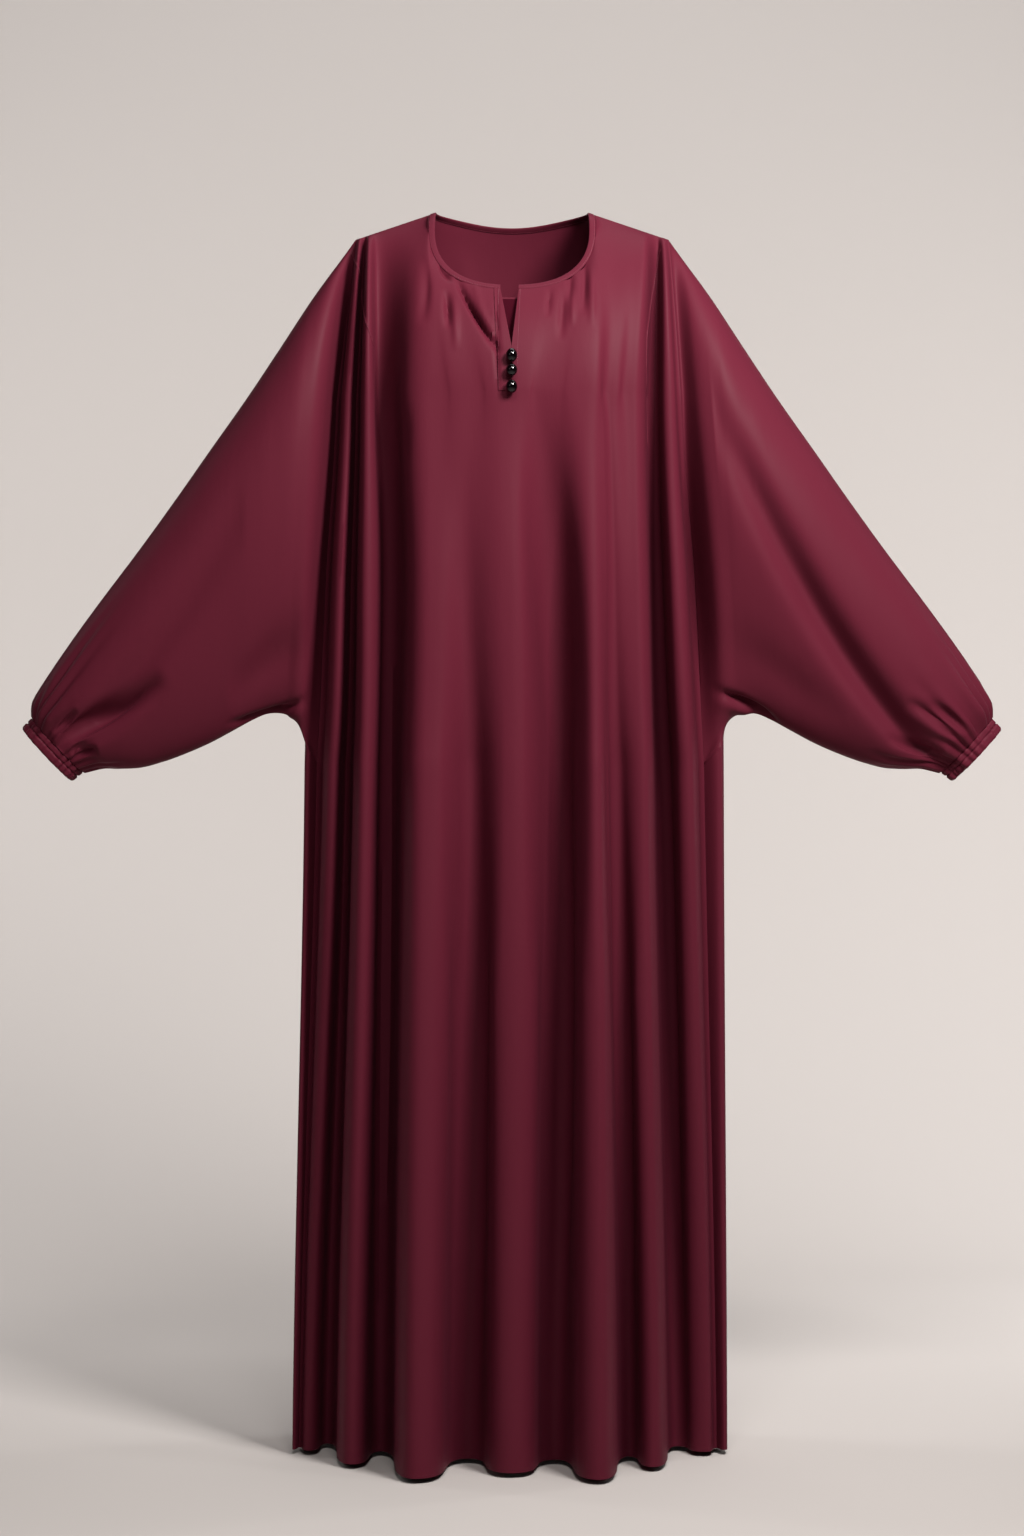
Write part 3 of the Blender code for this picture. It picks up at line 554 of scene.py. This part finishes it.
def weld(patches):
    """Joins patches that share borders into one sheet: its points and normals, and by piece its quads and the places
    of their corners on the cut, in metres along and across the grid."""
    points, faces, cuts, total = [], {}, {}, 0
    for name, grid, flip, ring in patches:
        if ring:
            grid = np.concatenate([grid, grid[:, :1]], axis=1)
        rows, columns = grid.shape[:2]
        index = total + np.arange(rows * columns).reshape(rows, columns)
        run = np.linalg.norm(np.diff(grid, axis=1), axis=2).mean(axis=0)
        drop = np.linalg.norm(np.diff(grid, axis=0), axis=2).mean(axis=1)
        along, down = np.meshgrid(np.append(0, np.cumsum(run)), np.append(0, np.cumsum(drop)))
        cut = np.stack([along, down], axis=-1).reshape(-1, 2)
        corners = [index[:-1, :-1], index[:-1, 1:], index[1:, 1:], index[1:, :-1]]
        quads = np.stack([corner.reshape(-1) for corner in (corners[::-1] if flip else corners)], axis=-1)
        faces.setdefault(name, []).append(quads)
        cuts.setdefault(name, []).append(cut[quads - total])
        points.append(grid.reshape(-1, 3))
        total += rows * columns
    points = np.concatenate(points)
    _, first, same = np.unique(np.round(points / WELD).astype(int), axis=0, return_index=True, return_inverse=True)
    points = points[first]
    pieces = {name: (same.reshape(-1)[np.concatenate(faces[name])], np.concatenate(cuts[name])) for name in faces}
    return points, sheet_normals(points, [quads for quads, _ in pieces.values()]), pieces


def sheet_normals(points, faces):
    """Area-weighted normal of a sheet at each of its points."""
    normals = np.zeros_like(points)
    for quads in faces:
        tilt = np.cross(points[quads[:, 2]] - points[quads[:, 0]], points[quads[:, 3]] - points[quads[:, 1]])
        for corner in range(4):
            np.add.at(normals, quads[:, corner], tilt)
    return normals / np.linalg.norm(normals, axis=1, keepdims=True)


def wall(points, normals, quads, cut, thickness, lift=0.0):
    """Closed body of a sheet: its rim drawn in by half a seam gap, its two faces half a wall to either side."""
    used, quads = np.unique(quads, return_inverse=True)
    quads = quads.reshape(-1, 4)
    place, normal = points[used].copy(), normals[used]
    edges = np.concatenate([quads[:, [corner, (corner + 1) % 4]] for corner in range(4)])
    places = np.concatenate([cut[:, [corner, (corner + 1) % 4]] for corner in range(4)])
    count = len(used)
    on_rim = ~np.isin(edges[:, 0] * count + edges[:, 1], edges[:, 1] * count + edges[:, 0])
    rim, rim_cut = edges[on_rim], places[on_rim]
    inward = np.zeros_like(place)
    run = place[rim[:, 1]] - place[rim[:, 0]]
    side = np.cross(normal[rim[:, 0]] + normal[rim[:, 1]], run)
    side /= np.maximum(np.linalg.norm(side, axis=1, keepdims=True), HAIR)
    for end in range(2):
        np.add.at(inward, rim[:, end], side)
    size = np.linalg.norm(inward, axis=1, keepdims=True)
    inward = np.divide(inward, size, out=np.zeros_like(inward), where=size > 0)
    place = place + inward * SEAM_GAP / 2 + normal * lift
    both = np.concatenate([place + normal * thickness / 2, place - normal * thickness / 2])
    band = np.stack([rim[:, 1], rim[:, 0], rim[:, 0] + count, rim[:, 1] + count], axis=-1)
    return (both, np.concatenate([quads, quads[:, ::-1] + count, band]),
            np.concatenate([cut, cut[:, ::-1], rim_cut[:, [1, 0, 0, 1]]]))


def add_piece(name, points, faces, material, cut=None):
    """Mesh object, smooth apart from its rims, with the cut's coordinates as its UV map."""
    mesh = bpy.data.meshes.new(name)
    mesh.from_pydata(points.tolist(), [], faces if isinstance(faces, list) else faces.tolist())
    if cut is not None:
        mesh.uv_layers.new(name="cut").data.foreach_set("uv", cut.astype(np.float32).ravel())
    mesh.materials.append(material)
    mesh.shade_smooth()
    mesh.set_sharp_from_angle(angle=np.radians(50))
    piece = bpy.data.objects.new(name, mesh)
    bpy.context.scene.collection.objects.link(piece)
    return piece


def dress(piece, node):
    """The piece stands for a CAD node: it rides the root, and that node is hidden."""
    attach(piece, "root")
    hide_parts(node)
    return piece


patches = [("front", grid, True, False) for grid in front_grids]
patches += [("back", grid, False, False) for grid in back_grids]
for name, cuff_name, side in (("sleeve_right", "cuff_right", -1), ("sleeve_left", "cuff_left", 1)):
    gathers = gather_table()
    grid = sleeve(armhole(front_grids, side), armhole(back_grids, side), side, gathers)
    plain = gathered(grid[-1], gathers, 0.0, -GATHER_DEPTH)
    patches.append((name, grid, side < 0, True))
    patches.append((cuff_name, cuff(grid[-1], plain, side, gathers), side < 0, True))
sheet_points, normals, pieces = weld(patches)
facing_front = np.clip(-normals[:, 1] / 0.4, 0, 1)
facing_back = np.clip(normals[:, 1] / 0.4, 0, 1)
height = (crease_height(sheet_points, FRONT_CREASES, -1) * facing_front
          + crease_height(sheet_points, BACK_CREASES, 1) * facing_back)
sheet_points = sheet_points + normals * height[:, None]
normals = sheet_normals(sheet_points, [quads for quads, _ in pieces.values()])

for name, (quads, cut) in pieces.items():
    body = wall(sheet_points, normals, quads, cut, SATIN_WALL)
    piece = dress(add_piece(name + "_cloth", body[0], body[1], satin, body[2]), name)

# Neck binding: a bias strip folded over the neck's edge, so it has a rounded inner edge and a ditch along its seam.
# It runs from the slit round the wearer's right, the back and the left to the slit again.
BINDING_THICK = 2.4 * MM
BINDING_SIDES = 20


def binding_edges():
    """Inner and outer edge of the binding along its run."""
    left, right = column_steps()
    neck_left, neck_right = left[left >= NECK_STEPS[0]], right[right <= NECK_STEPS[1]]
    open_left = np.append(neck_left[:-1], CENTRE - HAIR)
    routes = [
        (FRONT, "front", open_left[::-1]),
        (BACK, "back", np.concatenate([neck_left[1:], neck_right[1:]])),
        (FRONT, "front", neck_right[:-1][::-1]),
    ]
    edges = []
    for folds, facing, step in routes:
        outer, inner, _ = top_points(folds, step, facing)
        if facing == "front":
            shift = slit_shift(step, outer[:, 2], outer[:, 2])
            outer[:, 0] += shift
            inner[:, 0] += shift
        edges.append(np.stack([inner, outer], axis=1))
    return np.concatenate(edges)


def flat_tube(middle, half_width, half_thick, width_way, thick_way, sides):
    """Tube of a flattened round section along a line, with closed ends: its points, faces and cut coordinates."""
    turn = np.arange(sides) * 2 * np.pi / sides
    wide = np.sign(np.cos(turn)) * np.abs(np.cos(turn)) ** 0.7 * half_width
    thick = np.sign(np.sin(turn)) * np.abs(np.sin(turn)) ** 0.7 * half_thick
    rings = middle[:, None] + width_way[:, None] * wide[:, None] + thick_way[:, None] * thick[:, None]
    index = np.arange(len(middle) * sides).reshape(-1, sides)
    after = np.roll(index, -1, axis=1)
    quads = np.stack([index[:-1], after[:-1], after[1:], index[1:]], axis=-1).reshape(-1, 4)
    run = np.append(0, np.cumsum(np.linalg.norm(np.diff(middle, axis=0), axis=1)))
    round_it = np.arange(sides + 1) * 2 * half_width / sides
    cut = np.stack(np.meshgrid(run, round_it, indexing="ij"), axis=-1)
    corners = [cut[:-1, :-1], cut[:-1, 1:], cut[1:, 1:], cut[1:, :-1]]
    cut = np.concatenate([np.stack(corners, axis=2).reshape(-1, 2), np.zeros((2 * sides, 2))])
    return rings.reshape(-1, 3), quads.tolist() + [index[0, ::-1].tolist(), index[-1].tolist()], cut


def unit(vectors):
    """The vectors at length 1."""
    return vectors / np.linalg.norm(vectors, axis=-1, keepdims=True)


edges = binding_edges()
binding_run = unit(np.gradient(edges.mean(axis=1), axis=0))
binding_wide = unit(edges[:, 1] - edges[:, 0])
binding_out = unit(np.cross(binding_run, binding_wide))
binding = dress(add_piece("neck_binding_cloth", *flat_tube(
    edges.mean(axis=1), BAND_WIDTH / 2 - SEAM_GAP / 2, BINDING_THICK / 2, binding_wide, binding_out, BINDING_SIDES)[:2],
    satin), "neck_binding")

# Placket: a narrow strip of the same cloth, sewn on along the slit and below it, where the buttons sit.
TRIM_WALL = 0.9 * MM


def trim(name, grid, lift, node, material):
    """Thin piece made from points of a panel, with the panel's creases, moved out by lift."""
    points, outward, parts = weld([("trim", grid, True, False)])
    points = points + outward * crease_height(points, FRONT_CREASES, -1)[:, None]
    body, faces, cut = wall(points, outward, *parts["trim"], TRIM_WALL, lift)
    return dress(add_piece(name, body, faces, material, cut), node)


placket_grid = front_grids[0][:SHOULDER_ROWS + 1, -6:]
placket = trim("placket_cloth", placket_grid, (SATIN_WALL + TRIM_WALL) / 2 + SEAM_GAP, "placket", satin)

# Underlay: a small piece of the same cloth behind the slit, its upper edge a little below the binding. Its colour is
# the satin darkened nearly to black, without gloss or sheen: painted shade for the shadow that falls inside the slit.
UNDERLAY_START = 0.56 / 5
# Painted shade: the underlay's colour, darker than the satin, stands for the shadow inside the slit.
UNDERLAY_PAINTED_SHADE_COLOUR = "#340A15"
UNDERLAY_SAG = 17.0 * MM
UNDERLAY_HEM_BACK = 1.7 * MM
underlay_steps = np.linspace(7.6, 8.4, 13)
underlay_turns = np.linspace(UNDERLAY_START, 0.8, 40)
underlay_grid = np.array([panel_shoulder(FRONT, underlay_steps, turn, "front", slit=False) for turn in underlay_turns])
underlay_grid[:, :, 1] += UNDERLAY_SAG * np.outer(np.linspace(0.3, 1, len(underlay_turns)),
                                                  np.sin(np.linspace(0, np.pi, len(underlay_steps))))
# The underlay's material is a darker copy of the satin without gloss or sheen: painted shade.
underlay = trim("slit_underlay_cloth", underlay_grid, -(SATIN_WALL + TRIM_WALL) / 2 - SEAM_GAP, "slit_underlay",
                satin_material("satin_crepe_painted_shade", UNDERLAY_PAINTED_SHADE_COLOUR, 0.0, 0.0))

# Ball buttons: three glossy black balls, each a little taller than wide, on a short shank in the placket.
# Columns: name, height, how much taller than wide.
BUTTONS = [
    ("button_top", -0.178, 1.24),
    ("button_middle", -0.1946, 1.12),
    ("button_low", -0.2132, 1.22),
]
BUTTON_RADIUS, BUTTON_X, SHANK_RADIUS, SHANK_LENGTH = 6.3 * MM, -0.4 * MM, 1.1 * MM, 0.6 * MM
BUTTON_RINGS, BUTTON_SIDES = 36, 48
jet, _, _ = new_material("jet_glass", Base_Color=linear("#040203"), Roughness=0.03, Specular_IOR_Level=0.5)


def ball_button(name, centre, tall, back_y):
    """Ball with a short shank behind it: rings of one profile about the Y axis, drawn out in height."""
    rise = np.linspace(0, np.pi, BUTTON_RINGS)[1:-1]
    rise = rise[BUTTON_RADIUS * np.sin(rise) > SHANK_RADIUS]
    radius = np.concatenate([BUTTON_RADIUS * np.sin(rise), [SHANK_RADIUS, SHANK_RADIUS]])
    neck_y = centre[1] + BUTTON_RADIUS * np.sqrt(1 - (SHANK_RADIUS / BUTTON_RADIUS) ** 2)
    depth = np.concatenate([centre[1] - BUTTON_RADIUS * np.cos(rise), [neck_y, back_y]])
    height = np.concatenate([np.full(len(rise), tall), [1.0, 1.0]])
    turn = np.arange(BUTTON_SIDES) * 2 * np.pi / BUTTON_SIDES
    rings = np.stack([
        centre[0] + radius[:, None] * np.cos(turn),
        np.broadcast_to(depth[:, None], (len(depth), BUTTON_SIDES)),
        centre[2] + (radius * height)[:, None] * np.sin(turn),
    ], axis=-1)
    index = np.arange(rings.size // 3).reshape(len(depth), BUTTON_SIDES)
    after = np.roll(index, -1, axis=1)
    quads = np.stack([index[:-1], index[1:], after[1:], after[:-1]], axis=-1).reshape(-1, 4)
    return add_piece(name, rings.reshape(-1, 3), quads.tolist() + [index[0].tolist(), index[-1, ::-1].tolist()], jet)


slit_edge = front_grids[0][:SHOULDER_ROWS + 1, -1]
for name, z, tall in BUTTONS:
    cloth_y = np.interp(-z, -slit_edge[:, 2], slit_edge[:, 1])
    back_y = cloth_y - SATIN_WALL / 2 - TRIM_WALL - 2 * SEAM_GAP
    centre = (BUTTON_X, back_y - SHANK_LENGTH - BUTTON_RADIUS, z)
    dress(ball_button(name + "_ball", centre, tall, back_y), name)

# Sewing: a raised armhole seam on each shoulder that is stitched down, and edge stitching on the binding, beside the
# slit and on the placket. Every stitch is one short thread that dips into the cloth at its ends.
STITCH_LENGTH, STITCH_PITCH, THREAD_RADIUS = 2.3 * MM, 3.0 * MM, 0.22 * MM
STITCH_SIDES = 5
SEAM_WIDE, SEAM_THICK = 2.6 * MM, 0.9 * MM
thread, _, _ = new_material("polyester_thread", Base_Color=linear("#6B2034"), Roughness=0.55)

# Columns: x and z on the front view, in mm, from the shoulder tip down.
SEAM_RIGHT = [(-185, -47), (-178, -60), (-173, -90), (-169, -118), (-164, -137), (-160, -152)]
SEAM_LEFT = [(172, -41), (167, -60), (161, -90), (157, -118), (154, -148), (154, -200), (155, -266)]
SLIT_STITCH = [(9.4, -84), (8.6, -110), (6.6, -150), (6.4, -176)]
PLACKET_STITCH = [(-15.2, -85), (-15.2, -120), (-14.8, -160), (-14.4, -204)]
UNDERARM_RIGHT = [(-237, -604), (-231, -617), (-224, -631)]
UNDERARM_LEFT = [(240, -604), (232, -618), (222, -632)]

cloth_tree = BVHTree.FromPolygons(sheet_points.tolist(), np.concatenate([q for q, _ in pieces.values()]).tolist())


def on_cloth(places, way):
    """Points of the cloth that the front view (way -1) or back view (way 1) sees at places in mm, close together, and
    the cloth's outward direction there."""
    places = np.array(places, float) * MM
    dense = between(places, np.linspace(0, len(places) - 1, 40 * len(places)))
    eye = Vector((0.0, way * VIEW_DISTANCE, VIEW_HEIGHT))
    points, outward = [], []
    for x, z in dense:
        hit, direction, _, _ = cloth_tree.ray_cast(eye, (Vector((x, 0.0, z)) - eye).normalized())
        points.append(hit)
        outward.append(direction if direction.y * way > 0 else -direction)
    return np.array(points), np.array(outward)


def along_line(points, outward, places):
    """Points and outward directions at distances along a line."""
    run = np.append(0, np.cumsum(np.linalg.norm(np.diff(points, axis=0), axis=1)))
    at = np.stack([np.interp(places, run, points[:, axis]) for axis in range(3)], axis=-1)
    out = np.stack([np.interp(places, run, outward[:, axis]) for axis in range(3)], axis=-1)
    return at, unit(out), run[-1]


def stitch_row(points, outward):
    """One row of stitches along a line: each is a thin thread, highest in its middle, its ends in the cloth."""
    total = along_line(points, outward, np.zeros(1))[2]
    starts = np.arange(STITCH_PITCH / 2, total - STITCH_PITCH, STITCH_PITCH)
    share = np.linspace(0, 1, 5)
    body, faces = [], []
    turn = np.arange(STITCH_SIDES) * 2 * np.pi / STITCH_SIDES
    for start in starts:
        middle, out, _ = along_line(points, outward, start + share * STITCH_LENGTH)
        middle = middle + out * (np.sin(np.pi * share) * 2 - 0.7)[:, None] * THREAD_RADIUS
        aside = unit(np.cross(np.gradient(middle, axis=0), out))
        rings = (middle[:, None] + THREAD_RADIUS * (aside[:, None] * np.cos(turn)[:, None]
                                                    + out[:, None] * np.sin(turn)[:, None]))
        index = len(body) * rings.shape[0] * STITCH_SIDES + np.arange(rings.shape[0] * STITCH_SIDES).reshape(-1, STITCH_SIDES)
        after = np.roll(index, -1, axis=1)
        faces += np.stack([index[:-1], index[1:], after[1:], after[:-1]], axis=-1).reshape(-1, 4).tolist()
        faces += [index[0].tolist(), index[-1, ::-1].tolist()]
        body.append(rings.reshape(-1, 3))
    return np.concatenate(body), faces


def sew(name, rows):
    """One piece of several rows of stitches."""
    bodies, faces, total = [], [], 0
    for points, outward in rows:
        body, quads = stitch_row(points, outward)
        faces += [[corner + total for corner in face] for face in quads]
        bodies.append(body)
        total += len(body)
    piece = add_piece(name, np.concatenate(bodies), faces, thread)
    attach(piece, "root")


def raised_seam(name, points, outward):
    """Narrow flat ridge of a seam that lies on the cloth, with closed ends."""
    run = unit(np.gradient(points, axis=0))
    aside = unit(np.cross(outward, run))
    body, faces, cut = flat_tube(points + outward * SATIN_WALL / 2, SEAM_WIDE / 2, SEAM_THICK / 2, aside,
                                 unit(np.cross(run, aside)), 10)
    piece = add_piece(name, body, faces, satin, cut)
    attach(piece, "root")


def lifted(line, height):
    """The line moved out by a height."""
    return line[0] + line[1] * height, line[1]


for name, places in (("right", SEAM_RIGHT), ("left", SEAM_LEFT)):
    rows = []
    for way, face in ((-1, "front"), (1, "back")):
        line = on_cloth(places, way)
        raised_seam(f"armhole_seam_{name}_{face}", *line)
        rows.append(lifted(line, SATIN_WALL / 2 + SEAM_THICK / 2))
    sew(f"armhole_stitches_{name}", rows)
hem_line = underlay_grid[0, 3:10] + np.array([0.0, UNDERLAY_HEM_BACK, 0.0])
raised_seam("underlay_hem", hem_line, np.broadcast_to([0.0, -1.0, 0.0], hem_line.shape))
for name, places in (("right", UNDERARM_RIGHT), ("left", UNDERARM_LEFT)):
    for way, face in ((-1, "front"), (1, "back")):
        raised_seam(f"underarm_seam_{name}_{face}", *on_cloth(places, way))
sew("slit_stitches", [lifted(on_cloth(SLIT_STITCH, -1), SATIN_WALL / 2),
                      lifted(on_cloth(PLACKET_STITCH, -1), SATIN_WALL / 2 + TRIM_WALL + SEAM_GAP)])
binding_line = edges.mean(axis=1) + binding_wide * BAND_WIDTH * 0.3
sew("binding_stitches", [(binding_line + binding_out * side * BINDING_THICK * 0.47, binding_out * side)
                         for side in (-1, 1)])

# Stage: a pale warm-grey studio sweep, a large soft light high at the right, a weaker one at the left, and the camera
# level with the waist, straight in front.
FLOOR_Z = HEM_Z - 6 * MM
SWEEP_BACK, SWEEP_RADIUS, SWEEP_HALF, SWEEP_TOP = 2.6, 1.2, 1.35, 1.1
FLOOR_HALF, FLOOR_BELOW = 6.0, 2 * MM


def sweep():
    """A roll of paper that lies on the floor and curves up behind: a profile in y and z, drawn out in x."""
    turn = np.linspace(0, np.pi / 2, 25)
    profile = np.concatenate([
        [[-6.0, FLOOR_Z]],
        np.stack([SWEEP_BACK - SWEEP_RADIUS + SWEEP_RADIUS * np.sin(turn),
                  FLOOR_Z + SWEEP_RADIUS * (1 - np.cos(turn))], axis=-1),
        [[SWEEP_BACK, SWEEP_TOP]],
    ])
    points = [(x, y, z) for x in (-SWEEP_HALF, SWEEP_HALF) for y, z in profile]
    count = len(profile)
    quads = [(place, place + count, place + count + 1, place + 1) for place in range(count - 1)]
    return np.array(points), np.array(quads)


backdrop, _, _ = new_material("studio_paper", Base_Color=linear("#C4BEBA"), Roughness=0.95, Specular_IOR_Level=0.1)
add_piece("studio_sweep", *sweep(), backdrop)
floor_corners = np.array([(x, y, FLOOR_Z - FLOOR_BELOW) for x, y in (
    (-FLOOR_HALF, -FLOOR_HALF), (FLOOR_HALF, -FLOOR_HALF), (FLOOR_HALF, FLOOR_HALF), (-FLOOR_HALF, FLOOR_HALF))])
add_piece("studio_floor", floor_corners, np.array([(0, 1, 2, 3)]), backdrop)


def area_light(name, place, target, size, power, colour):
    """A square soft light that looks at a target."""
    light = bpy.data.lights.new(name, "AREA")
    light.size = size
    light.energy = power
    light.color = linear(colour)[:3]
    thing = bpy.data.objects.new(name, light)
    thing.location = place
    thing.visible_camera = False
    thing.rotation_euler = (Vector(target) - Vector(place)).to_track_quat("-Z", "Y").to_euler()
    bpy.context.scene.collection.objects.link(thing)


area_light("key", (0.72, -1.2, 0.55), (-0.1, 0.0, -0.24), 0.45, 47, "#FFFCFA")
area_light("fill", (-2.4, -3.0, 0.6), (0.0, 0.0, -0.5), 1.2, 4, "#FFFCFA")
area_light("glint", (1.2, -0.7, 1.2), (0.0, -0.1, -0.2), 0.22, 5, "#FFFEFC")
area_light("floor_light", (0.0, -2.6, 1.8), (0.0, -1.6, -1.4), 1.0, 50, "#FFFCFA")
area_light("paper_light_top", (0.4, 0.9, 2.9), (0.2, 2.4, -1.0), 2.4, 42, "#FFFEFE")
area_light("paper_light_right", (1.7, 0.7, -0.3), (0.4, 2.6, -0.7), 1.0, 27, "#FFFEFE")
area_light("paper_light_left", (-1.7, 0.7, -0.1), (-0.4, 2.6, -0.5), 1.0, 21, "#FFFEFE")

world = bpy.data.worlds.new("studio")
world.use_nodes = True
world.node_tree.nodes["Background"].inputs["Color"].default_value = linear("#F6F3EF")
world.node_tree.nodes["Background"].inputs["Strength"].default_value = 0.02
bpy.context.scene.world = world

camera_data = bpy.data.cameras.new("camera")
camera_data.lens = 81.5
camera_data.sensor_width = 36.0
camera = bpy.data.objects.new("camera", camera_data)
camera.location = (0.0, -VIEW_DISTANCE, VIEW_HEIGHT)
camera.rotation_euler = (np.pi / 2, 0.0, 0.0)
bpy.context.scene.collection.objects.link(camera)
bpy.context.scene.camera = camera
bpy.context.scene.view_settings.view_transform = "Standard"
